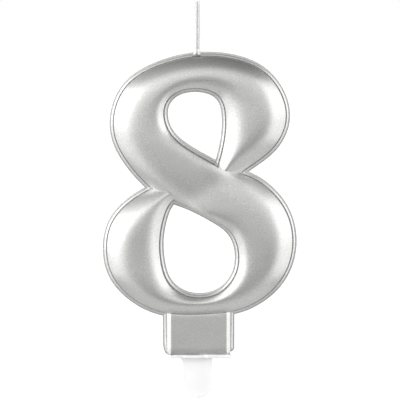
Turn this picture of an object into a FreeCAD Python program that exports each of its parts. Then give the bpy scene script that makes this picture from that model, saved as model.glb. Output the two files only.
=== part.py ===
"""Number birthday candle: a cast wax numeral on a foot, its cotton wick and a flat plastic cake pick.

Units are millimetres. +Z is up and the numeral faces -Y. The origin is the middle of the foot's underside,
which rests on the icing, so the pick reaches below zero.
"""

import FreeCAD, Part
import math
import os
from FreeCAD import Vector

# Overall size of the numeral, without the foot
NUMERAL_WIDTH = 46.6
NUMERAL_HEIGHT = 63.6

# Cross-section of the numeral's stroke, from its outer edge inwards
FLANGE_THICKNESS = 1.8
FLANGE_ROUNDING = 0.45
WALL_HEIGHT = 1.8
WALL_SLOPE = 0.5
DOME_HEIGHT = 3.5
OUTER_FLANK = 2.6
COUNTER_FLANK = 2.0
COUNTER_START = 0.55
LOBE_FLANK = 3.0
LOBE_START = 0.35
DIAGONAL_FLANK = 1.1
DIAGONAL_START = 0.8
FLANK_BLEND = 4.0

# Where the two lobes pass behind the main stroke they get thinner, and they end inside it
LOBE_THINNING = 0.04
THINNING_NODES = 4.0
HIDDEN_END = 0.5

# Foot below the numeral
FOOT_WIDTH = 15.2
FOOT_HEIGHT = 9.6
FOOT_FACE_STEP = 0.35
FOOT_CHAMFER = 0.85
FOOT_FLANGE_REACH = 0.95
FOOT_FLANGE_LIFT = 1.4
FOOT_FLANGE_CORNER = 0.8
FOOT_OVERLAP = 2.6
LIP_HEIGHT = 1.1
LIP_REACH = 0.12
LIP_ROUNDING = 0.35

# Cake pick, cast into the foot
PICK_WIDTH = 7.4
PICK_THICKNESS = 1.6
PICK_REACH = 9.8
PICK_DEPTH = 8.2
PICK_OFFSET = -0.4
PICK_ROUNDING = 0.3
PICK_SHOULDER = 1.2
KEY_HOLE_RADIUS = 1.2
KEY_HOLE_LIFT = 4.8

# Wick, cast into the stroke
WICK_DIAMETER = 1.45
WICK_SHOWN = 12.2
WICK_OFFSET = -0.45
WICK_TIP_SLANT = 0.35
WICK_BEND_DEPTH = 3.8
WICK_ARC_SHARE = 0.45
NUB_BASE_WALL = 0.65
NUB_TOP_WALL = 0.2
NUB_HEIGHT = 0.5

# Clearance between the wax and what is cast into it
CAST_CLEARANCE = 0.03

# The numeral is one stroke with a left and a right edge, and each node is a point (x, z) of each. The
# stroke starts behind the crossing, runs over the upper loop anticlockwise, down through the crossing, and
# round the lower loop clockwise until it ends behind the crossing.
STROKE_NODES = (
    ((2.1, 42.2), (6.2, 40.0)),
    ((4.0, 47.3), (12.2, 44.7)),
    ((5.2, 52.5), (18.3, 49.5)),
    ((5.5, 57.1), (21.7, 56.5)),
    ((4.8, 60.8), (20.1, 64.3)),
    ((2.8, 62.8), (13.6, 70.7)),
    ((-0.3, 63.5), (2.9, 73.1)),
    ((-3.7, 63.1), (-7.5, 71.6)),
    ((-6.3, 61.4), (-16.7, 66.8)),
    ((-7.3, 58.4), (-20.9, 59.2)),
    ((-6.0, 54.3), (-20.5, 51.6)),
    ((-2.2, 50.9), (-16.7, 45.0)),
    ((2.6, 48.1), (-12.5, 40.5)),
    ((7.4, 45.8), (-8.3, 37.6)),
    ((12.6, 44.2), (-3.3, 35.7)),
    ((17.8, 40.7), (1.8, 33.2)),
    ((22.1, 34.6), (6.6, 29.9)),
    ((23.3, 26.0), (8.5, 25.6)),
    ((19.6, 17.1), (8.1, 20.8)),
    ((11.0, 11.1), (5.2, 16.9)),
    ((0.8, 9.6), (1.1, 15.4)),
    ((-9.6, 10.3), (-3.1, 16.0)),
    ((-18.0, 15.0), (-6.5, 18.7)),
    ((-22.3, 21.7), (-8.0, 23.1)),
    ((-22.6, 29.5), (-8.3, 28.2)),
    ((-19.7, 35.5), (-7.5, 33.0)),
    ((-14.0, 40.1), (-5.9, 36.6)),
    ((-6.7, 43.6), (-2.9, 39.4)),
)
# The size at which the nodes are drawn
DRAWN_WIDTH = 46.6
DRAWN_HEIGHT = 63.6
DRAWN_LOWEST = 9.6

# Nodes at which the stroke is parted into a right-hand lobe, the main S and a left-hand lobe
TOP_NODE = 6
BOTTOM_NODE = 20
LAST_NODE = len(STROKE_NODES) - 1
# Nodes between which the flanks change over, because the left edge passes from counter to outside
CHANGE_START = 12.2
CHANGE_END = 15.0
# Nodes between which the counter's flank turns from a lobe's into the main stroke's, and back
WIDENING = ((8.0, 4.0), (18.0, 22.0))
# Nodes between which the stroke runs diagonally, with taller walls and narrower flanks at its counters
DIAGONAL_NODES = ((9.5, 11.0), (16.0, 14.5))
# The wick follows the middle of the stroke through these nodes
WICK_NODES = (7.6, 9.0, 10.2, 11.6, 13.2, 14.8, 16.2, 17.4, 18.5, 19.6)

# How finely the skins are worked out
STATIONS_PER_NODE = 2
DOME_POINTS = 15
EDGE_POINTS = 7

HALF_FLANGE = FLANGE_THICKNESS / 2
DOME_BASE = HALF_FLANGE + WALL_HEIGHT
FOOT_FACE = DOME_BASE + FOOT_FACE_STEP
RIM_WIDTH = FLANGE_ROUNDING + WALL_SLOPE
WICK_RADIUS = WICK_DIAMETER / 2


def edge_curve(side):
    """The stroke's left (0) or right (1) edge, at the numeral's own size."""
    across = NUMERAL_WIDTH / DRAWN_WIDTH
    up = NUMERAL_HEIGHT / DRAWN_HEIGHT
    points = [
        Vector(node[side][0] * across, 0, FOOT_HEIGHT + (node[side][1] - DRAWN_LOWEST) * up)
        for node in STROKE_NODES
    ]
    curve = Part.BSplineCurve()
    curve.interpolate(Points=points, Parameters=[float(i) for i in range(len(points))])
    return curve


LEFT_EDGE = edge_curve(0)
RIGHT_EDGE = edge_curve(1)


def crossing_line(step):
    """The line across the stroke: left end, direction, length, and how slanted it meets each edge."""
    left = LEFT_EDGE.value(step)
    right = RIGHT_EDGE.value(step)
    across = right - left
    length = across.Length
    across = across / length
    slants = [
        1 / across.cross(curve.tangent(step)[0]).Length for curve in (LEFT_EDGE, RIGHT_EDGE)
    ]
    return left, across, length, slants


def smooth_share(value):
    """An even change from 0 to 1, level at both ends."""
    value = min(1.0, max(0.0, value))
    return value * value * (3 - 2 * value)


def thickness_share(step):
    """The stroke's share of its full thickness, a little less where the lobes pass behind the crossing."""
    from_end = min(step, LAST_NODE - step) / THINNING_NODES
    return 1 - LOBE_THINNING * (1 - smooth_share(from_end))


def flank_rise(distance, diagonal_share, lobe_share, outer_share):
    """The share of the dome's height a flank has risen at this distance from its edge."""
    start = COUNTER_START + diagonal_share * (DIAGONAL_START - COUNTER_START)
    flank = COUNTER_FLANK + diagonal_share * (DIAGONAL_FLANK - COUNTER_FLANK)
    counter = start + (1 - start) * math.tanh(distance / flank)
    lobe = LOBE_START + (1 - LOBE_START) * (1 - math.exp(-distance / LOBE_FLANK))
    outer = 1 - math.exp(-distance / OUTER_FLANK)
    counter += lobe_share * (lobe - counter)
    return counter + outer_share * (outer - counter)


def dome_rise(step, from_left, from_right):
    """The dome's height over its base, at these distances from its two edges."""
    diagonal_share = min(smooth_share((step - start) / (end - start)) for start, end in DIAGONAL_NODES)
    lobe_share = max(smooth_share((step - start) / (end - start)) for start, end in WIDENING)
    outer_share = smooth_share((step - CHANGE_START) / (CHANGE_END - CHANGE_START))
    left = flank_rise(from_left, diagonal_share, lobe_share, outer_share)
    right = flank_rise(from_right, diagonal_share, lobe_share, 1 - outer_share)
    if min(left, right) <= 0:
        return 0.0
    blend = left**-FLANK_BLEND + right**-FLANK_BLEND
    return DOME_HEIGHT * blend ** (-1 / FLANK_BLEND)


def dome_rail(place):
    """The rule for the dome's point at this share of its width, from its left edge to its right edge."""

    def point_at(step):
        left, across, length, slants = crossing_line(step)
        start = RIM_WIDTH * slants[0]
        end = length - RIM_WIDTH * slants[1]
        offset = start + (end - start) * place
        rise = dome_rise(step, (offset - start) / slants[0], (end - offset) / slants[1])
        return left + across * offset - Vector(0, (DOME_BASE + rise) * thickness_share(step), 0)

    return point_at


def edge_rail(side, share):
    """The rule for the flange's rounded edge, from its front (share 0) to its back (share 1)."""

    def point_at(step):
        left, across, length, slants = crossing_line(step)
        turn = math.pi * (share - 0.5)
        inset = FLANGE_ROUNDING * (1 - math.cos(turn)) * slants[side]
        offset = length - inset if side else inset
        depth = HALF_FLANGE * math.sin(turn) * thickness_share(step)
        return left + across * offset + Vector(0, depth, 0)

    return point_at


def mirrored(rail):
    """The same rule on the numeral's other face."""

    def point_at(step):
        point = rail(step)
        return Vector(point.x, -point.y, point.z)

    return point_at


def spline_poles(points, parameters):
    """The poles of the curve through these points, with its knots."""
    curve = Part.BSplineCurve()
    curve.interpolate(Points=points, Parameters=parameters)
    return curve.getPoles(), curve.getKnots(), curve.getMultiplicities()


def skin(rails, places):
    """A surface through these rails, each a rule that gives a point for each step along the stroke."""
    count = LAST_NODE * STATIONS_PER_NODE + 1
    steps = [i / STATIONS_PER_NODE for i in range(count)]
    rows = [spline_poles([rail(step) for step in steps], steps) for rail in rails]
    _, step_knots, step_mults = rows[0]
    columns = [list(column) for column in zip(*[row[0] for row in rows])]
    if len(rails) == 2:
        poles, knots, mults, degree = columns, places, [2, 2], 1
    else:
        curves = [spline_poles(column, places) for column in columns]
        poles = [curve[0] for curve in curves]
        _, knots, mults = curves[0]
        degree = 3
    surface = Part.BSplineSurface()
    surface.buildFromPolesMultsKnots(
        poles, step_mults, mults, step_knots, knots, False, False, 3, degree
    )
    return surface


def stroke_skins():
    """The eight surfaces round the stroke: two domes, two rounded edges and four walls."""
    across = [(1 - math.cos(math.pi * i / (DOME_POINTS - 1))) / 2 for i in range(DOME_POINTS)]
    dome = [dome_rail(place) for place in across]
    back_dome = [mirrored(rail) for rail in dome]
    round_edge = [i / (EDGE_POINTS - 1) for i in range(EDGE_POINTS)]
    edges = [[edge_rail(side, share) for share in round_edge] for side in (0, 1)]
    skins = [skin(dome, across), skin(back_dome, across)]
    skins += [skin(edge, round_edge) for edge in edges]
    for end, edge in ((0, edges[0]), (-1, edges[1])):
        skins.append(skin([dome[end], edge[0]], [0.0, 1.0]))
        skins.append(skin([back_dome[end], edge[-1]], [0.0, 1.0]))
    return skins


def closed_stretch(skins, start, end):
    """The solid stretch of the stroke between two nodes, closed by a flat cut at each end."""
    faces = []
    for surface in skins:
        stretch = surface.copy()
        _, _, low, high = stretch.bounds()
        stretch.segment(start, end, low, high)
        faces.append(stretch.toShape())
    for step in (start, end):
        rims = [surface.uIso(step).toShape() for surface in skins]
        faces.append(Part.Face(Part.Wire(Part.sortEdges(rims)[0])))
    shell = Part.makeShell(faces)
    shell.sewShape()
    solid = Part.makeSolid(shell)
    if solid.Volume < 0:
        solid.reverse()
    return solid


def centred_box(width, depth, low, high):
    """A box round the Z axis, from one height to another."""
    return Part.makeBox(width, depth, high - low, Vector(-width / 2, -depth / 2, low))


def edges_along(shape, direction):
    """The straight edges that run along a direction."""
    return [
        edge
        for edge in shape.Edges
        if isinstance(edge.Curve, Part.Line) and edge.tangentAt(0).cross(direction).Length < 1e-6
    ]


def foot():
    """The foot: a block with bevelled corners, the flange down its sides and the lip round its base."""
    top = FOOT_HEIGHT + FOOT_OVERLAP
    block = centred_box(FOOT_WIDTH, 2 * FOOT_FACE, 0, top)
    block = block.makeChamfer(FOOT_CHAMFER, edges_along(block, Vector(0, 0, 1)))
    flange_width = FOOT_WIDTH + 2 * FOOT_FLANGE_REACH
    flange = centred_box(flange_width, FLANGE_THICKNESS, FOOT_FLANGE_LIFT, top)
    lower = [e for e in edges_along(flange, Vector(0, 1, 0)) if e.CenterOfMass.z < top / 2]
    flange = flange.makeFillet(FOOT_FLANGE_CORNER, lower)
    rim = [e for e in flange.Edges if abs(e.CenterOfMass.y) > HALF_FLANGE / 2]
    rim = [e for e in rim if e.CenterOfMass.z < top - LIP_ROUNDING]
    flange = flange.makeFillet(FLANGE_ROUNDING, rim)
    lip = centred_box(FOOT_WIDTH + 2 * LIP_REACH, 2 * (FOOT_FACE + LIP_REACH), 0, LIP_HEIGHT)
    lip = lip.makeFillet(FOOT_CHAMFER, edges_along(lip, Vector(0, 0, 1)))
    lip = lip.makeFillet(LIP_ROUNDING, [e for e in lip.Edges if e.BoundBox.ZLength < LIP_ROUNDING])
    return block.fuse([flange, lip])


def cake_pick(grow=0.0):
    """The flat pick with its rounded lower end, square shoulders and key hole, or the socket it leaves."""
    half = PICK_WIDTH / 2 + grow
    depth = PICK_THICKNESS + 2 * grow
    low = half - grow - PICK_REACH
    high = PICK_DEPTH + grow
    shank = Part.makeBox(2 * half, depth, high - low, Vector(-half, -depth / 2, low))
    tip = Part.makeCylinder(half, depth, Vector(0, -depth / 2, low), Vector(0, 1, 0))
    pick = shank.fuse(tip).removeSplitter()
    shoulders = [e for e in edges_along(pick, Vector(0, 1, 0)) if e.CenterOfMass.z > high / 2]
    pick = pick.makeFillet(PICK_SHOULDER, shoulders)
    rim = [e for e in pick.Edges if abs(e.CenterOfMass.y) > depth / 4]
    pick = pick.makeFillet(PICK_ROUNDING, rim)
    hole = Part.makeCylinder(
        KEY_HOLE_RADIUS - grow, depth, Vector(0, -depth / 2, KEY_HOLE_LIFT), Vector(0, 1, 0)
    )
    pick = pick.cut(hole)
    pick.translate(Vector(PICK_OFFSET, 0, 0))
    return pick


def numeral_top():
    """The numeral's height where the wick comes out."""
    low, high = float(TOP_NODE), float(TOP_NODE + 1)
    while high - low > 1e-6:
        middle = (low + high) / 2
        if RIGHT_EDGE.value(middle).x > WICK_OFFSET:
            low = middle
        else:
            high = middle
    return RIGHT_EDGE.value(low).z


def rounded_path(points):
    """Straight runs through these points, joined by tangent arcs."""
    edges = []
    start = points[0]
    for before, corner, after in zip(points, points[1:], points[2:]):
        arrive = (corner - before).normalize()
        leave = (after - corner).normalize()
        turn = arrive.getAngle(leave)
        shorter = min((corner - before).Length, (after - corner).Length)
        cut = WICK_ARC_SHARE * shorter
        radius = cut / math.tan(turn / 2)
        first = corner - arrive * cut
        last = corner + leave * cut
        towards = (leave - arrive).normalize()
        middle = corner + towards * (radius / math.cos(turn / 2) - radius)
        edges.append(Part.LineSegment(start, first).toShape())
        edges.append(Part.Arc(first, middle, last).toShape())
        start = last
    edges.append(Part.LineSegment(start, points[-1]).toShape())
    return Part.Wire(edges)


def wick(grow=0.0):
    """The wick from its cut tip down into the stroke and along it, or the channel it leaves."""
    top = numeral_top()
    tip = Vector(WICK_OFFSET, 0, top + WICK_SHOWN)
    bend = Vector(WICK_OFFSET, 0, top - WICK_BEND_DEPTH)
    route = [tip, bend]
    for step in WICK_NODES:
        left, across, length, _ = crossing_line(step)
        route.append(left + across * (length / 2))
    section = Part.Wire(Part.makeCircle(WICK_RADIUS + grow, tip, Vector(0, 0, 1)))
    cord = rounded_path(route).makePipeShell([section], True, False)
    reach = 2 * WICK_DIAMETER
    cutter = Part.makeBox(2 * reach, 2 * reach, reach, Vector(-reach, -reach, 0))
    cutter.rotate(Vector(0, 0, 0), Vector(0, 1, 0), -math.degrees(math.atan(WICK_TIP_SLANT)))
    cutter.translate(tip - Vector(0, 0, WICK_RADIUS * WICK_TIP_SLANT))
    return cord.cut(cutter)


def number_body():
    """The wax casting: the main S, the two lobes that pass behind it, the foot and the nub."""
    skins = stroke_skins()
    main_stroke = closed_stretch(skins, TOP_NODE, BOTTOM_NODE)
    right_lobe = closed_stretch(skins, HIDDEN_END, TOP_NODE)
    left_lobe = closed_stretch(skins, BOTTOM_NODE, LAST_NODE - HIDDEN_END)
    base = Vector(WICK_OFFSET, 0, numeral_top() - NUB_HEIGHT)
    nub = Part.makeCone(WICK_RADIUS + NUB_BASE_WALL, WICK_RADIUS + NUB_TOP_WALL, 2 * NUB_HEIGHT, base)
    body = main_stroke.fuse([right_lobe, left_lobe]).fuse([foot(), nub])
    return body.cut([cake_pick(CAST_CLEARANCE), wick(CAST_CLEARANCE)])


PARTS = {"number_body": number_body, "wick": wick, "cake_pick": cake_pick}


def main():
    os.makedirs("parts", exist_ok=True)
    for name, make in PARTS.items():
        shape = make()
        box = shape.BoundBox
        print(name, "solids", len(shape.Solids), "valid", shape.isValid(), "mm3", round(shape.Volume, 1))
        print("  x %.2f to %.2f, y %.2f to %.2f, z %.2f to %.2f" % (
            box.XMin, box.XMax, box.YMin, box.YMax, box.ZMin, box.ZMax))
        shape.exportStep("parts/%s.step" % name)


main()
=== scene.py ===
"""The looks of a number birthday candle: lacquered wax numeral, waxed cotton wick and plastic cake pick."""

import math

import bmesh
import bpy
import numpy as np
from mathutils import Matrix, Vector, noise


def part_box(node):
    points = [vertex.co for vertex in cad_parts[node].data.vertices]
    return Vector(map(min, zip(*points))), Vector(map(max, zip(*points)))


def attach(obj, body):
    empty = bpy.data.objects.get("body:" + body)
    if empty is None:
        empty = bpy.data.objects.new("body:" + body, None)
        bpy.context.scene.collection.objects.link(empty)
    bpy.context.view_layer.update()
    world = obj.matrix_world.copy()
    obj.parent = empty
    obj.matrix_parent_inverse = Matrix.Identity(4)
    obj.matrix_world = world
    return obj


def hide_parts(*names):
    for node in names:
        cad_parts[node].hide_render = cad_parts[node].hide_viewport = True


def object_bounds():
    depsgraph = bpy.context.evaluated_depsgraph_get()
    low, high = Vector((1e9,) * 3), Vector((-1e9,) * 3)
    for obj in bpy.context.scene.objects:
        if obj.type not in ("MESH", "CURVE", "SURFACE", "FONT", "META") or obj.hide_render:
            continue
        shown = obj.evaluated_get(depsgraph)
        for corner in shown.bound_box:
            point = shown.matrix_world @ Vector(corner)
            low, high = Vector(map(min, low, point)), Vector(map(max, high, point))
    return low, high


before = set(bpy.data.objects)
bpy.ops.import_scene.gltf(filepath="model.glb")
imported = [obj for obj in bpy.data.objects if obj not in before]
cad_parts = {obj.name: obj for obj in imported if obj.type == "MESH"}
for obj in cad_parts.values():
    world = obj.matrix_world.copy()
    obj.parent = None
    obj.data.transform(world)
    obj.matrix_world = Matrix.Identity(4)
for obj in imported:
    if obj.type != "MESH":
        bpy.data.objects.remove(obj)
CAD_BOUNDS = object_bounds()

MM = 0.001

# Cross-section of the numeral's stroke in millimetres, from its outer edge inwards
HALF_FLANGE = 0.9
WALL_TOP = 1.12
# Insets and heights of the flange, from the middle of its edge to its flat face
FLANGE_RIM = (
    (0.0, 0.0),
    (0.0, 0.66),
    (0.02, 0.71),
    (0.06, 0.72),
    (0.4, 0.72),
    (0.43, 0.74),
    (0.68, 0.88),
    (0.73, 0.9),
)
# Insets and heights of the crease between the flange and the dome's wall, and of the wall
CREASE_RIM = (
    (0.87, 0.9),
    (0.91, 0.78),
    (0.98, 0.68),
    (1.03, 0.8),
    (1.05, 1.5),
    (1.08, 2.1),
)
RIM = FLANGE_RIM + CREASE_RIM
DOME_BASE = 2.7
DOME_HEIGHT = 3.5
OUTER_FLANK = 2.6
COUNTER_FLANK = 2.0
COUNTER_START = 0.55
LOBE_FLANK = 3.0
LOBE_START = 0.35
# Along the diagonal the counters' walls stand taller and their flanks are narrower
DIAGONAL_FLANK = 1.1
DIAGONAL_START = 0.8
DIAGONAL_NODES = ((9.5, 11.0), (16.0, 14.5))
# Nodes between which the counter's flank widens from the main stroke's to a lobe's
WIDENING = ((8.0, 4.0), (18.0, 22.0))
# How sharply the dome's two flanks meet: softly along the stroke, and in a ridge where a lobe ends
SOFT_BLEND = 4.0
RIDGE_BLEND = 14.0
LEAST_RISE = 1e-9
LOBE_THINNING = 0.04
THINNING_NODES = 4.0
HIDDEN_END = 0.5
TOP_SAMPLES = 400

# Foot in millimetres
FOOT_WIDTH = 15.2
FOOT_HEIGHT = 9.6
FOOT_FACE = 3.05
FOOT_CHAMFER = 0.85
FOOT_OVERLAP = 2.6
FOOT_FLANGE_REACH = 0.95
FOOT_FLANGE_CORNER = 1.2
FOOT_FLANGE_INSET = 1.12
# The flange's two lower ends: side, length of its rounding, lift and turn of its corner in degrees
FOOT_FLANGE_ENDS = ((-1, 3.2, 0.7, 180, 270), (1, 1.2, 1.35, 270, 360))
CORNER_STEPS = 10
LIP_HEIGHT = 1.1
# Lumps round the lip, and a finer grain on them: reach in millimetres, how close together, and which slice
# of the noise
LIP_LUMPS = 0.22
LIP_LUMPS_SCALE = 0.8
LIP_LUMPS_LAYER = 3.0
LIP_GRAIN = 0.132
LIP_GRAIN_SCALE = 2.1
LIP_GRAIN_LAYER = 9.0
LIP_LIFT = 0.8
# Points along each side of the block: their spacing, the fewest, and how near the corners the outer ones lie
OUTLINE_SPACING = 0.25
FEWEST_POINTS = 3
EDGE_SOFTNESS = 0.06
# Heights of the foot's base and how far each stands out from the block
LIP_PROFILE = (
    (0.0, -0.3),
    (0.06, -0.1),
    (0.22, 0.04),
    (0.5, 0.1),
    (0.8, 0.04),
    (0.96, -0.1),
    (1.04, -0.26),
    (1.12, -0.34),
    (1.22, -0.3),
    (1.3, -0.14),
    (1.4, -0.03),
    (1.55, 0.0),
)
# Shoulder at the foot's top: heights from the numeral's dome and how far each stands out from the block
SHOULDER_PROFILE = (
    (-0.5, 0.0),
    (-0.3, -0.01),
    (-0.16, -0.06),
    (-0.06, -0.16),
    (0.0, -0.32),
    (0.1, -0.42),
    (1.2, -0.5),
)
BLOCK_ROWS = 8
# Steps along the stroke between which its left edge lies over the foot
JOIN_STEPS = (18.6, 21.6)
JOIN_SAMPLES = 200

# Drop of wax round the wick, in millimetres
NUB_DEPTH = 0.9
NUB_RISE = 0.9
NUB_WALL = 0.7
NUB_FILM = 0.05
NUB_CLOSING = 0.6
NUB_LUMPS = 0.3
NUB_LUMPS_AROUND = 1.7
NUB_LUMPS_UP = 1.3
NUB_LEVELS = 12
NUB_AROUND = 40

# Wick in millimetres
WICK_OFFSET = -0.45
WICK_TIP_SLANT = 0.35
WICK_BEND_DEPTH = 3.8
# Grooves between the plies, in degrees round from the front to the right
PLY_GROOVES = (15, 64, 115, 175, 235, 290)
GROOVE_HALF_WIDTH = 9.0
PLY_DEPTH = 0.4
PLY_PITCH = 700.0
WICK_LUMPS = 0.025
WICK_LUMPS_AROUND = 0.9
WICK_LUMPS_ALONG = 1.4
WICK_LUMPS_LAYER = 5.0
WICK_AROUND = 96
WICK_HIDDEN_STATIONS = 90
WICK_SHOWN_STATIONS = 60
TIP_REACH = 0.5

# The numeral is one stroke with a left and a right edge, and each node is a point (x, z) of each, in
# millimetres. The stroke starts behind the crossing, runs over the upper loop anticlockwise, down through
# the crossing, and round the lower loop clockwise until it ends behind the crossing.
STROKE_NODES = (
    ((2.1, 42.2), (6.2, 40.0)),
    ((4.0, 47.3), (12.2, 44.7)),
    ((5.2, 52.5), (18.3, 49.5)),
    ((5.5, 57.1), (21.7, 56.5)),
    ((4.8, 60.8), (20.1, 64.3)),
    ((2.8, 62.8), (13.6, 70.7)),
    ((-0.3, 63.5), (2.9, 73.1)),
    ((-3.7, 63.1), (-7.5, 71.6)),
    ((-6.3, 61.4), (-16.7, 66.8)),
    ((-7.3, 58.4), (-20.9, 59.2)),
    ((-6.0, 54.3), (-20.5, 51.6)),
    ((-2.2, 50.9), (-16.7, 45.0)),
    ((2.6, 48.1), (-12.5, 40.5)),
    ((7.4, 45.8), (-8.3, 37.6)),
    ((12.6, 44.2), (-3.3, 35.7)),
    ((17.8, 40.7), (1.8, 33.2)),
    ((22.1, 34.6), (6.6, 29.9)),
    ((23.3, 26.0), (8.5, 25.6)),
    ((19.6, 17.1), (8.1, 20.8)),
    ((11.0, 11.1), (5.2, 16.9)),
    ((0.8, 9.6), (1.1, 15.4)),
    ((-9.6, 10.3), (-3.1, 16.0)),
    ((-18.0, 15.0), (-6.5, 18.7)),
    ((-22.3, 21.7), (-8.0, 23.1)),
    ((-22.6, 29.5), (-8.3, 28.2)),
    ((-19.7, 35.5), (-7.5, 33.0)),
    ((-14.0, 40.1), (-5.9, 36.6)),
    ((-6.7, 43.6), (-2.9, 39.4)),
)
TOP_NODE = 6
BOTTOM_NODE = 20
LAST_NODE = len(STROKE_NODES) - 1
# Nodes between which the flanks change over, because the left edge passes from counter to outside
CHANGE_START = 12.2
CHANGE_END = 15.0
WICK_NODES = (7.6, 9.0, 10.2, 11.6, 13.2, 14.8, 16.2, 17.4, 18.5, 19.6)

STATIONS_PER_NODE = 14
DOME_STEPS = 30
CREASE_ANGLE = 32

# Camera
SENSOR_WIDTH = 36.0
LENS = 400.0
FRAME_SHARE = 1.0042
AIM_RIGHT = 0.08
CAMERA_ELEVATION = 4.5

# Light and floor
LIGHT_DISTANCE = 0.5
# Nested panels that make a softbox fade towards its edge: share of its size, and radiance
SOFTBOX_LAYERS = ((1.0, 0.5), (0.7, 1.1), (0.4, 3.0))
# Softboxes: degrees round from the front and degrees up, width and height in metres, and gain
SOFTBOXES = {
    "left_softbox": (-74, 1, 1.3, 0.8, 1.4),
    "right_softbox": (79, 1, 1.05, 0.8, 1.65),
}
# Brightness in front and behind, then gains on the left and overhead, each with the span of the direction's
# Y, X or Z over which it comes in
WORLD_FRONT = 0.86
WORLD_BACK = 0.5
WORLD_BACK_SPAN = (-0.2, 0.6)
WORLD_LEFT = 1.9
WORLD_LEFT_SPAN = (0.1, -0.7)
WORLD_TOP = 0.32
WORLD_TOP_SPAN = (0.3, 0.95)
FLOOR_DROP = 0.42
FLOOR_HALF = 12.0
FLOOR_SHADE = 0.55
FLOOR_GLOW = 0.9

# Bare wax round the foot's lip, in metres: heights where it starts to fade and is gone, and its raggedness
BARE_WAX_FULL = 0.0003
BARE_WAX_GONE = 0.0006
BARE_WAX_RAGGED = 0.0008
# The middle range of a noise's values, over which colours and gloss change
NOISE_LOW = 0.3
NOISE_HIGH = 0.7


def smooth_share(value):
    """An even change from 0 to 1, level at both ends."""
    value = np.clip(value, 0.0, 1.0)
    return value * value * (3 - 2 * value)


def node_share(steps, first, last):
    """An even change from 0 at the first node to 1 at the last."""
    return smooth_share((steps - first) / (last - first))


class Spline:
    """A smooth curve through points, one at each whole number."""

    def __init__(self, points):
        self.points = np.array(points, float)
        count = len(points)
        system = np.eye(count)
        bends = np.zeros_like(self.points)
        for i in range(1, count - 1):
            system[i, i - 1 : i + 2] = (1, 4, 1)
            bends[i] = 6 * (self.points[i - 1] - 2 * self.points[i] + self.points[i + 1])
        self.bends = np.linalg.solve(system, bends)

    def at(self, steps):
        """The curve's points and its directions at these steps."""
        low = np.clip(np.floor(steps).astype(int), 0, len(self.points) - 2)
        far = (steps - low)[:, None]
        near = 1 - far
        start, end = self.points[low], self.points[low + 1]
        bend_start, bend_end = self.bends[low], self.bends[low + 1]
        places = near * start + far * end
        places += ((near**3 - near) * bend_start + (far**3 - far) * bend_end) / 6
        slopes = end - start + ((3 * far**2 - 1) * bend_end - (3 * near**2 - 1) * bend_start) / 6
        return places, slopes / np.linalg.norm(slopes, axis=1, keepdims=True)


LEFT_EDGE = Spline([node[0] for node in STROKE_NODES])
RIGHT_EDGE = Spline([node[1] for node in STROKE_NODES])


def stroke_lines(steps):
    """The lines across the stroke: left ends, directions, lengths, and how slanted they meet each edge."""
    left, left_way = LEFT_EDGE.at(steps)
    right, right_way = RIGHT_EDGE.at(steps)
    across = right - left
    length = np.linalg.norm(across, axis=1)
    across /= length[:, None]
    slants = [
        1 / np.abs(across[:, 0] * way[:, 1] - across[:, 1] * way[:, 0]) for way in (left_way, right_way)
    ]
    return left, across, length, slants


def clear_share(steps):
    """How far the lobes have come out from behind the crossing, from 0 at the stroke's ends to 1."""
    return smooth_share(np.minimum(steps, LAST_NODE - steps) / THINNING_NODES)


def thickness_share(steps):
    """The stroke's share of its full thickness, a little less where the lobes pass behind the crossing."""
    return 1 - LOBE_THINNING * (1 - clear_share(steps))


def flank_rise(distance, diagonal_share, lobe_share, outer_share):
    """The share of the dome's height a flank has risen at this distance from its edge."""
    start = COUNTER_START + diagonal_share * (DIAGONAL_START - COUNTER_START)
    flank = COUNTER_FLANK + diagonal_share * (DIAGONAL_FLANK - COUNTER_FLANK)
    counter = start + (1 - start) * np.tanh(distance / flank)
    lobe = LOBE_START + (1 - LOBE_START) * (1 - np.exp(-distance / LOBE_FLANK))
    outer = 1 - np.exp(-distance / OUTER_FLANK)
    counter += lobe_share * (lobe - counter)
    return counter + outer_share * (outer - counter)


def stroke_rings(steps):
    """The closed cross-section at each step, as an array of rings of points in millimetres."""
    left, across, length, slants = stroke_lines(steps)
    thickness = thickness_share(steps)
    outer = node_share(steps, CHANGE_START, CHANGE_END)
    diagonal = np.minimum(*[node_share(steps, *nodes) for nodes in DIAGONAL_NODES])
    lobe = np.maximum(*[node_share(steps, *nodes) for nodes in WIDENING])
    blend = RIDGE_BLEND + clear_share(steps) * (SOFT_BLEND - RIDGE_BLEND)
    front = [(inset * slants[0], np.full_like(steps, height)) for inset, height in RIM]
    start = WALL_TOP * slants[0]
    end = length - WALL_TOP * slants[1]
    for i in range(DOME_STEPS + 1):
        place = (1 - math.cos(math.pi * i / DOME_STEPS)) / 2
        offset = start + (end - start) * place
        rise_left = flank_rise((offset - start) / slants[0], diagonal, lobe, outer)
        rise_right = flank_rise((end - offset) / slants[1], diagonal, lobe, 1 - outer)
        lowest = np.maximum(np.minimum(rise_left, rise_right), LEAST_RISE)
        highest = np.maximum(np.maximum(rise_left, rise_right), LEAST_RISE)
        rise = lowest * (1 + (lowest / highest) ** blend) ** (-1 / blend)
        front.append((offset, DOME_BASE + DOME_HEIGHT * rise))
    front += [(length - inset * slants[1], np.full_like(steps, height)) for inset, height in reversed(RIM)]
    rings = []
    for offset, height in front:
        point = left + across * offset[:, None]
        rings.append(np.stack([point[:, 0], -height * thickness, point[:, 1]], axis=1))
    for offset, height in reversed(front[1:-1]):
        point = left + across * offset[:, None]
        rings.append(np.stack([point[:, 0], height * thickness, point[:, 1]], axis=1))
    return np.stack(rings, axis=1)


def new_object(name, points, faces):
    """A mesh object from points in metres."""
    mesh = bpy.data.meshes.new(name)
    mesh.from_pydata([tuple(point) for point in points], [], faces)
    mesh.update()
    piece = bpy.data.objects.new(name, mesh)
    bpy.context.scene.collection.objects.link(piece)
    return piece


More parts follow.
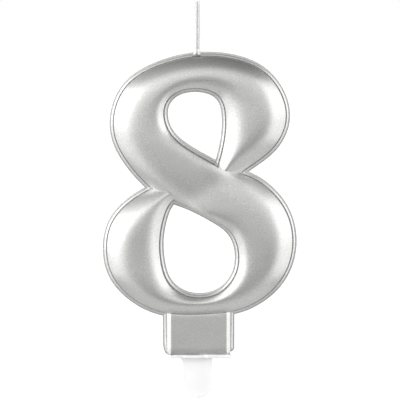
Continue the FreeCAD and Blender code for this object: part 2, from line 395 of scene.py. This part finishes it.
def lofted(name, rings):
    """A closed mesh through rings of points in millimetres, with a fan of triangles at each end."""
    stations, around, _ = rings.shape
    points = list(rings.reshape(-1, 3) * MM)
    faces = []
    for i in range(stations - 1):
        for j in range(around):
            k = (j + 1) % around
            faces.append((i * around + j, i * around + k, (i + 1) * around + k, (i + 1) * around + j))
    for station, turn in ((0, -1), (stations - 1, 1)):
        centre = len(points)
        points.append(rings[station].mean(axis=0) * MM)
        for j in range(around):
            k = (j + 1) % around
            ends = (station * around + j, station * around + k)
            faces.append((centre, *ends[::turn]))
    piece = new_object(name, points, faces)
    outwards(piece)
    return piece


def outwards(piece):
    """Turns a closed mesh's faces outwards."""
    made = bmesh.new()
    made.from_mesh(piece.data)
    bmesh.ops.recalc_face_normals(made, faces=made.faces)
    made.to_mesh(piece.data)
    made.free()


def stroke_piece(name, start, end):
    """A stretch of the stroke between two nodes."""
    count = round((end - start) * STATIONS_PER_NODE) + 1
    return lofted(name, stroke_rings(np.linspace(start, end, count)))


def united(piece, others):
    """Piece joined with the others into one closed skin."""
    for other in others:
        joiner = piece.modifiers.new("join", "BOOLEAN")
        joiner.operation = "UNION"
        joiner.solver = "MANIFOLD"
        joiner.object = other
        depsgraph = bpy.context.evaluated_depsgraph_get()
        mesh = bpy.data.meshes.new_from_object(piece.evaluated_get(depsgraph))
        piece.modifiers.clear()
        piece.data = mesh
        bpy.data.objects.remove(other)
    return piece


def foot_outline():
    """Points round the foot's bevelled block, each with its outward direction."""
    half = FOOT_WIDTH / 2
    narrow = half - FOOT_CHAMFER
    shallow = FOOT_FACE - FOOT_CHAMFER
    right = [(narrow, -FOOT_FACE), (half, -shallow), (half, shallow), (narrow, FOOT_FACE)]
    corners = right + [(-x, -y) for x, y in right]
    outline = []
    for i, start in enumerate(corners):
        start = Vector(start)
        end = Vector(corners[(i + 1) % len(corners)])
        run = end - start
        steps = max(FEWEST_POINTS, round(run.length / OUTLINE_SPACING))
        normal = Vector((run.y, -run.x)).normalized()
        for j in range(steps):
            share = (j + 0.5) / steps
            inset = EDGE_SOFTNESS / run.length
            place = start + run * min(max(share, inset), 1 - inset)
            outline.append((place, normal))
    return outline


def unevenness(place, scale, layer):
    """A smooth change from place to place of the foot's outline, the same all the way up it."""
    return noise.noise(Vector((place.x * scale, place.y * scale, layer)))


def foot_block():
    """The bevelled block with the groove and the lumpy lip round its base."""
    outline = foot_outline()
    rings = []
    for height, grow in LIP_PROFILE:
        ring = []
        lumpy = max(0.0, 1 - height / LIP_HEIGHT)
        for place, normal in outline:
            lump = LIP_LUMPS * unevenness(place, LIP_LUMPS_SCALE, LIP_LUMPS_LAYER)
            lump += LIP_GRAIN * unevenness(place, LIP_GRAIN_SCALE, LIP_GRAIN_LAYER)
            out = grow + (lump if height < LIP_HEIGHT else 0.0)
            ring.append((
                place.x + normal.x * out,
                place.y + normal.y * out,
                height + lumpy * abs(lump) * LIP_LIFT,
            ))
        rings.append(ring)
    start = LIP_PROFILE[-1][0]
    joins = [dome_height(place.x) for place, _ in outline]
    for i in range(1, BLOCK_ROWS):
        share = i / BLOCK_ROWS
        rings.append([
            (place.x, place.y, start + share * (join + SHOULDER_PROFILE[0][0] - start))
            for (place, _), join in zip(outline, joins)
        ])
    for lift, grow in SHOULDER_PROFILE:
        rings.append([
            (place.x + normal.x * grow, place.y + normal.y * grow, join + lift)
            for (place, normal), join in zip(outline, joins)
        ])
    return lofted("foot_block", np.array(rings))


def dome_height(x):
    """The height in millimetres at which the numeral's dome begins above the foot."""
    places, _ = LEFT_EDGE.at(np.linspace(*JOIN_STEPS, JOIN_SAMPLES))
    return float(np.interp(-x, -places[:, 0], places[:, 1])) + WALL_TOP


def foot_flange():
    """The mould's flange, which runs on from the numeral down both sides of the foot."""
    half = FOOT_WIDTH / 2 + FOOT_FLANGE_REACH
    top = FOOT_HEIGHT + FOOT_OVERLAP
    section = [*FLANGE_RIM, (FOOT_FLANGE_INSET, HALF_FLANGE)]
    section = [(inset, -height) for inset, height in section[:0:-1]] + section
    rings = []
    for inset, depth in section:
        ring = [(half - inset, depth, top), (inset - half, depth, top)]
        for side, reach, lift, low, high in FOOT_FLANGE_ENDS:
            for i in range(CORNER_STEPS + 1):
                turn = math.radians(low + (high - low) * i / CORNER_STEPS)
                ring.append((
                    side * (half - FOOT_FLANGE_CORNER) + (FOOT_FLANGE_CORNER - inset) * math.cos(turn),
                    depth,
                    lift + reach + (reach - inset) * math.sin(turn),
                ))
        rings.append(ring)
    return lofted("foot_flange", np.array(rings))


def wax_nub(wick_radius, top):
    """The drop of wax that stays round the wick where it leaves the numeral."""
    rings = []
    for i in range(NUB_LEVELS):
        share = i / (NUB_LEVELS - 1)
        height = top - NUB_DEPTH + share * (NUB_DEPTH + NUB_RISE)
        film = wick_radius + NUB_FILM if i < NUB_LEVELS - 1 else wick_radius * NUB_CLOSING
        ring = []
        for j in range(NUB_AROUND):
            turn = 2 * math.pi * j / NUB_AROUND
            way = Vector((math.cos(turn), math.sin(turn), 0))
            lumps_at = Vector((way.x * NUB_LUMPS_AROUND, way.y * NUB_LUMPS_AROUND, height * NUB_LUMPS_UP))
            lump = 1 + NUB_LUMPS * noise.noise(lumps_at)
            radius = film + NUB_WALL * (1 - share) ** 2 * lump
            ring.append((WICK_OFFSET + way.x * radius, way.y * radius, height))
        rings.append(ring)
    return lofted("wax_nub", np.array(rings))


def wick_route(top):
    """The wick's own line, from deep in the numeral up to its cut tip."""
    steps = np.array(WICK_NODES)
    left, across, length, _ = stroke_lines(steps)
    middles = left + across * (length / 2)[:, None]
    points = [(x, 0.0, z) for x, z in middles[::-1]]
    points += [(WICK_OFFSET, 0.0, top - depth) for depth in (WICK_BEND_DEPTH, WICK_BEND_DEPTH / 2, 0.0)]
    return points


def groove_share(angle):
    """How deep into the nearest groove between the plies this angle lies, from 0 to 1."""
    nearest = min(abs((angle - groove + 180) % 360 - 180) for groove in PLY_GROOVES)
    return math.exp(-((nearest / GROOVE_HALF_WIDTH) ** 2))


def wick_piece(radius, top, tip):
    """The wick: cotton plies laid side by side with a slow twist, cut on a slant."""
    route = Spline(wick_route(top))
    hidden = np.linspace(0, len(route.points) - 1, WICK_HIDDEN_STATIONS)
    places, ways = route.at(hidden)
    shown = np.linspace(top, tip, WICK_SHOWN_STATIONS)[1:]
    places = np.vstack([places, [(WICK_OFFSET, 0.0, z) for z in shown]])
    ways = np.vstack([ways, [(0.0, 0.0, 1.0)] * len(shown)])
    travelled = np.concatenate([[0], np.cumsum(np.linalg.norm(np.diff(places, axis=0), axis=1))])
    depth_way = np.array((0.0, 1.0, 0.0))
    rings = []
    for place, way, along in zip(places, ways, travelled):
        side = np.cross(depth_way, way)
        side /= np.linalg.norm(side)
        twist = 2 * math.pi * (along - travelled[-1]) / PLY_PITCH
        ring = []
        for j in range(WICK_AROUND):
            turn = 2 * math.pi * j / WICK_AROUND
            from_front = math.degrees(turn - twist) + 90
            size = radius * (1 - PLY_DEPTH * groove_share(from_front))
            lumps_at = Vector((turn * WICK_LUMPS_AROUND, along * WICK_LUMPS_ALONG, WICK_LUMPS_LAYER))
            size *= 1 + WICK_LUMPS * noise.noise(lumps_at)
            ring.append(place + size * (math.cos(turn) * side + math.sin(turn) * depth_way))
        rings.append(ring)
    rings = np.array(rings)
    near_tip = np.clip(1 - (tip - rings[:, :, 2]) / TIP_REACH, 0, 1)
    slant = (rings[:, :, 0] - WICK_OFFSET) * WICK_TIP_SLANT - radius * WICK_TIP_SLANT
    rings[:, :, 2] += near_tip * slant
    return lofted("wick_cord", rings)


def finished(piece, material, body, node):
    """Gives a piece its material, smooth faces with crisp creases, and its place in the frame."""
    piece.data.materials.clear()
    piece.data.materials.append(material)
    for face in piece.data.polygons:
        face.use_smooth = True
    piece.data.set_sharp_from_angle(angle=math.radians(CREASE_ANGLE))
    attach(piece, body)
    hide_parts(node)


class Tree:
    """A node tree with short calls for adding and joining nodes."""

    def __init__(self, owner):
        owner.use_nodes = True
        self.tree = owner.node_tree

    def add(self, kind, *values, **named):
        """A node of this kind, with values or links for its inputs in order or by name (_ for a space)."""
        node = self.tree.nodes.new(kind)
        for socket, value in zip(node.inputs, values):
            self.put(socket, value)
        for name, value in named.items():
            self.put(node.inputs[name.replace("_", " ")], value)
        return node

    def put(self, socket, value):
        """Sets a socket, or links it when the value is another socket."""
        if isinstance(value, bpy.types.NodeSocket):
            self.tree.links.new(value, socket)
        else:
            socket.default_value = value

    def math(self, operation, *values):
        """The result of a sum on these values or links."""
        node = self.add("ShaderNodeMath", *values)
        node.operation = operation
        return node.outputs[0]


class Shader(Tree):
    """A material with the patterns that its surface is made from."""

    def __init__(self, name):
        self.material = bpy.data.materials.new(name)
        super().__init__(self.material)
        self.surface = self.tree.nodes["Principled BSDF"]

    def finish_surface(self, **inputs):
        """Sets or links the surface's inputs by name (_ for a space), and gives the material."""
        for name, value in inputs.items():
            self.put(self.surface.inputs[name.replace("_", " ")], value)
        return self.material

    def place(self):
        """The object's own coordinates, in metres."""
        return self.add("ShaderNodeTexCoord").outputs["Object"]

    def noise(self, scale, detail, stretch=None):
        """Noise with this many grains to a metre, which may be stretched along the axes."""
        place = self.place()
        if stretch is not None:
            place = self.add("ShaderNodeMapping", Vector=place, Scale=stretch).outputs["Vector"]
        return self.add("ShaderNodeTexNoise", Vector=place, Scale=scale, Detail=detail).outputs["Fac"]

    def ramp(self, value, low, high):
        """A colour ramp from one colour to another over the middle range of a noise."""
        node = self.add("ShaderNodeValToRGB", value)
        for element, position, colour in zip(
            node.color_ramp.elements, (NOISE_LOW, NOISE_HIGH), (low, high)
        ):
            element.position = position
            element.color = (*colour, 1)
        return node.outputs["Color"]

    def spread(self, value, low, high):
        """A noise's middle range mapped to these two values."""
        return self.add("ShaderNodeMapRange", value, NOISE_LOW, NOISE_HIGH, low, high).outputs["Result"]

    def faded(self, share, start, end):
        """A value that runs from start to end as the share goes from 0 to 1."""
        return self.add("ShaderNodeMapRange", share, 0.0, 1.0, start, end).outputs["Result"]

    def mixed(self, share, colour, other):
        """A colour that turns into another as the share goes from 0 to 1."""
        return self.add("ShaderNodeMixRGB", share, colour, (*other, 1)).outputs["Color"]

    def bare_wax(self, mottle):
        """The share of bare white wax: none above the foot's lip, most of it round the lip."""
        height = self.add("ShaderNodeSeparateXYZ", self.place()).outputs["Z"]
        uneven = self.math("MULTIPLY_ADD", mottle, -BARE_WAX_RAGGED, height)
        share = self.add("ShaderNodeMapRange", uneven, BARE_WAX_FULL, BARE_WAX_GONE, 1.0, 0.0)
        return share.outputs["Result"]

    def bump(self, height, distance, strength, **under):
        """Bump of this height in metres, over another bump where one is given as Normal."""
        node = self.add("ShaderNodeBump", Height=height, Distance=distance, Strength=strength, **under)
        return node.outputs["Normal"]


def silver_material():
    """Satin silver lacquer: fine metal flake, a faint mottle and slightly uneven gloss."""
    shader = Shader("silver_lacquer")
    flake = shader.noise(5200, detail=2.0)
    mottle = shader.noise(420, detail=3.0)
    cloud = shader.noise(60, detail=2.0)
    silver = shader.ramp(flake, low=(0.54, 0.54, 0.53), high=(0.78, 0.78, 0.775))
    bare = shader.bare_wax(mottle)
    fine = shader.bump(flake, distance=0.00005, strength=0.6)
    return shader.finish_surface(
        Base_Color=shader.mixed(bare, silver, other=(0.8, 0.8, 0.795)),
        Metallic=shader.faded(bare, start=1.0, end=0.15),
        Roughness=shader.spread(cloud, low=0.28, high=0.33),
        Normal=shader.bump(mottle, distance=0.00006, strength=0.35, Normal=fine),
    )


def cotton_material():
    """White cotton with fine fibres along it, stiffened with clear wax."""
    shader = Shader("waxed_cotton")
    fibre = shader.noise(9000, detail=3.0, stretch=(1.0, 1.0, 0.12))
    return shader.finish_surface(
        Base_Color=shader.ramp(fibre, low=(0.54, 0.536, 0.528), high=(0.8, 0.796, 0.785)),
        Roughness=shader.spread(fibre, low=0.42, high=0.6),
        Coat_Weight=0.25,
        Coat_Roughness=0.3,
        Normal=shader.bump(fibre, distance=0.00006, strength=0.6),
    )


def plastic_material():
    """Milky translucent moulded plastic with a faint texture from its mould."""
    shader = Shader("milky_plastic")
    cloud = shader.noise(180, detail=2.0)
    grain = shader.noise(3500, detail=2.0)
    return shader.finish_surface(
        Base_Color=shader.ramp(cloud, low=(0.7, 0.693, 0.697), high=(0.74, 0.732, 0.736)),
        Subsurface_Weight=0.25,
        Subsurface_Radius=(1.0, 1.0, 1.0),
        Subsurface_Scale=0.0015,
        IOR=1.49,
        Specular_IOR_Level=0.2,
        Roughness=shader.spread(grain, low=0.5, high=0.6),
        Normal=shader.bump(grain, distance=0.00002, strength=0.3),
    )


def number_wax(wick_radius):
    """The whole casting: numeral, foot, flange and the drop of wax at the wick."""
    main_stroke = stroke_piece("number_wax", TOP_NODE, BOTTOM_NODE)
    right_lobe = stroke_piece("right_lobe", HIDDEN_END, TOP_NODE)
    left_lobe = stroke_piece("left_lobe", BOTTOM_NODE, LAST_NODE - HIDDEN_END)
    nub = wax_nub(wick_radius, numeral_top())
    return united(main_stroke, [right_lobe, left_lobe, foot_block(), foot_flange(), nub])


def numeral_top():
    """The numeral's height in millimetres where the wick comes out."""
    steps = np.linspace(TOP_NODE, TOP_NODE + 1, TOP_SAMPLES)
    places, _ = RIGHT_EDGE.at(steps)
    return float(np.interp(-WICK_OFFSET, -places[:, 0], places[:, 1]))


def floor(low):
    """A plain pale floor well below the object, which glows up to white where the camera sees it."""
    half = FLOOR_HALF
    level = low.z - FLOOR_DROP
    points = [(-half, -half, level), (half, -half, level), (half, half, level), (-half, half, level)]
    piece = new_object("floor", points, [(0, 1, 2, 3)])
    material = bpy.data.materials.new("pale_floor")
    nodes = Tree(material)
    nodes.tree.nodes.clear()
    paint = nodes.add("ShaderNodeBsdfDiffuse", (FLOOR_SHADE, FLOOR_SHADE, FLOOR_SHADE, 1))
    seen = nodes.add("ShaderNodeLightPath").outputs["Is Camera Ray"]
    glow = nodes.add("ShaderNodeEmission", Strength=nodes.math("MULTIPLY", seen, FLOOR_GLOW))
    both = nodes.add("ShaderNodeAddShader", paint.outputs[0], glow.outputs[0])
    nodes.add("ShaderNodeOutputMaterial", both.outputs[0])
    piece.data.materials.append(material)


def softbox(name, aim, azimuth, elevation, width, height, gain):
    """A soft light that faces the object, brightest in its middle, this far round from the front and up."""
    turn, lift = math.radians(azimuth), math.radians(elevation)
    way = Vector((math.sin(turn) * math.cos(lift), -math.cos(turn) * math.cos(lift), math.sin(lift)))
    for i, (share, radiance) in enumerate(SOFTBOX_LAYERS):
        lamp = bpy.data.lights.new(f"{name}_{i}", "AREA")
        lamp.shape = "RECTANGLE"
        lamp.size = width * share
        lamp.size_y = height * share
        lamp.energy = gain * radiance * math.pi * lamp.size * lamp.size_y
        light = bpy.data.objects.new(lamp.name, lamp)
        light.location = aim + way * LIGHT_DISTANCE
        light.rotation_euler = (-way).to_track_quat("-Z", "Y").to_euler()
        bpy.context.scene.collection.objects.link(light)


def studio_world():
    """Light from all round: pale in front, greyer behind and overhead, brightest on the left."""
    world = bpy.data.worlds.new("studio")
    bpy.context.scene.world = world
    nodes = Tree(world)
    nodes.tree.nodes.clear()
    way = nodes.add("ShaderNodeTexCoord").outputs["Generated"]
    way = nodes.add("ShaderNodeSeparateXYZ", way).outputs

    def change(towards, span, start, end):
        """A level that changes smoothly from start to end towards one side."""
        node = nodes.add("ShaderNodeMapRange", towards, *span, start, end)
        node.interpolation_type = "SMOOTHSTEP"
        return node.outputs["Result"]

    level = change(way["Y"], WORLD_BACK_SPAN, WORLD_FRONT, WORLD_BACK)
    level = nodes.math("MULTIPLY", level, change(way["X"], WORLD_LEFT_SPAN, 1.0, WORLD_LEFT))
    level = nodes.math("MULTIPLY", level, change(way["Z"], WORLD_TOP_SPAN, 1.0, WORLD_TOP))
    # Straight behind the object the world shows plain white
    seen = nodes.add("ShaderNodeLightPath").outputs["Is Camera Ray"]
    strength = nodes.add("ShaderNodeMix", Factor=seen, A=level, B=1.0).outputs["Result"]
    light = nodes.add("ShaderNodeBackground", (1, 1, 1, 1), strength)
    nodes.add("ShaderNodeOutputWorld", light.outputs[0])


def camera(low, high):
    """A long lens in front of the numeral, slightly above its middle. Gives the point that it looks at."""
    lens = bpy.data.cameras.new("camera")
    lens.sensor_width = SENSOR_WIDTH
    lens.lens = LENS
    lens.clip_start = 0.01
    lens.clip_end = 20.0
    view = (high.z - low.z) * FRAME_SHARE
    distance = view * LENS / SENSOR_WIDTH
    aim = (low + high) / 2 + Vector((AIM_RIGHT * MM, 0, 0))
    lift = math.radians(CAMERA_ELEVATION)
    place = bpy.data.objects.new("camera", lens)
    way = Vector((0, -math.cos(lift), math.sin(lift)))
    place.location = aim + way * distance
    place.rotation_euler = (-way).to_track_quat("-Z", "Y").to_euler()
    bpy.context.scene.collection.objects.link(place)
    bpy.context.scene.camera = place
    return aim


low, high = (Vector(corner) for corner in CAD_BOUNDS)
wick_low, wick_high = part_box("wick")
wick_radius = (wick_high.y - wick_low.y) / 2 / MM

aim = camera(low, high)
floor(low)
studio_world()
for name, values in SOFTBOXES.items():
    softbox(name, aim, *values)

wax = number_wax(wick_radius)
finished(wax, silver_material(), "root", "number_body")
cord = wick_piece(wick_radius, numeral_top(), wick_high.z / MM)
finished(cord, cotton_material(), "root", "wick")
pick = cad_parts["cake_pick"]
pick.data.materials.clear()
pick.data.materials.append(plastic_material())

bpy.context.scene.view_settings.view_transform = "Standard"
